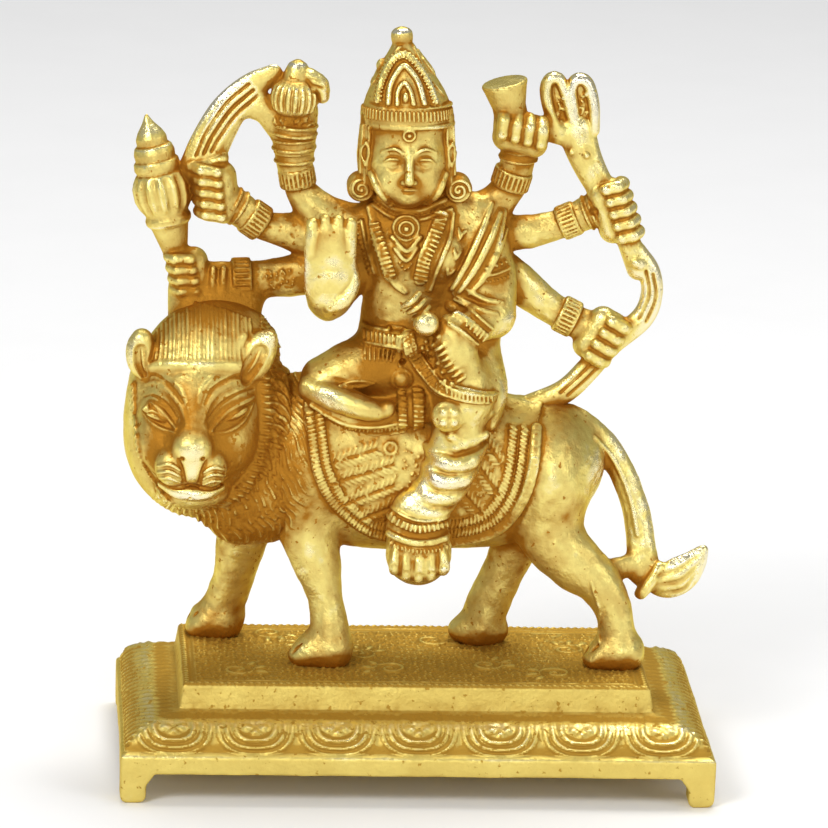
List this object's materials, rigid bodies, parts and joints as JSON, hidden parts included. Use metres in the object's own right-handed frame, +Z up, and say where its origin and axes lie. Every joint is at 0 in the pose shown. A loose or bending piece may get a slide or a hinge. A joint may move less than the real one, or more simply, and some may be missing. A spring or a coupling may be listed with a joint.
{
  "type": "durga figure",
  "caption": "Small cast brass figure of the goddess Durga, many-armed and seated on her lion, on a hollow lotus-moulded plinth with corner feet.",
  "frame": {"origin": "centre of the plinth's footprint, at the level of the shelf it stands on", "axes": "+Z up, +X to the viewer's right along the plinth, -Y toward the viewer; the lion walks toward -X and turns its face to -Y"},
  "size_m": [0.1, 0.056, 0.1271],
  "materials": {
    "casting_brass": "polished on the high places, with an orange-brown matte patina in the recesses",
    "plinth_brass": "polished edges and bands, with a matte punched deck and patina in the carving"
  },
  "bodies": {
    "root": {"durga_and_lion": "casting_brass", "plinth": "plinth_brass"}
  },
  "joints": []
}
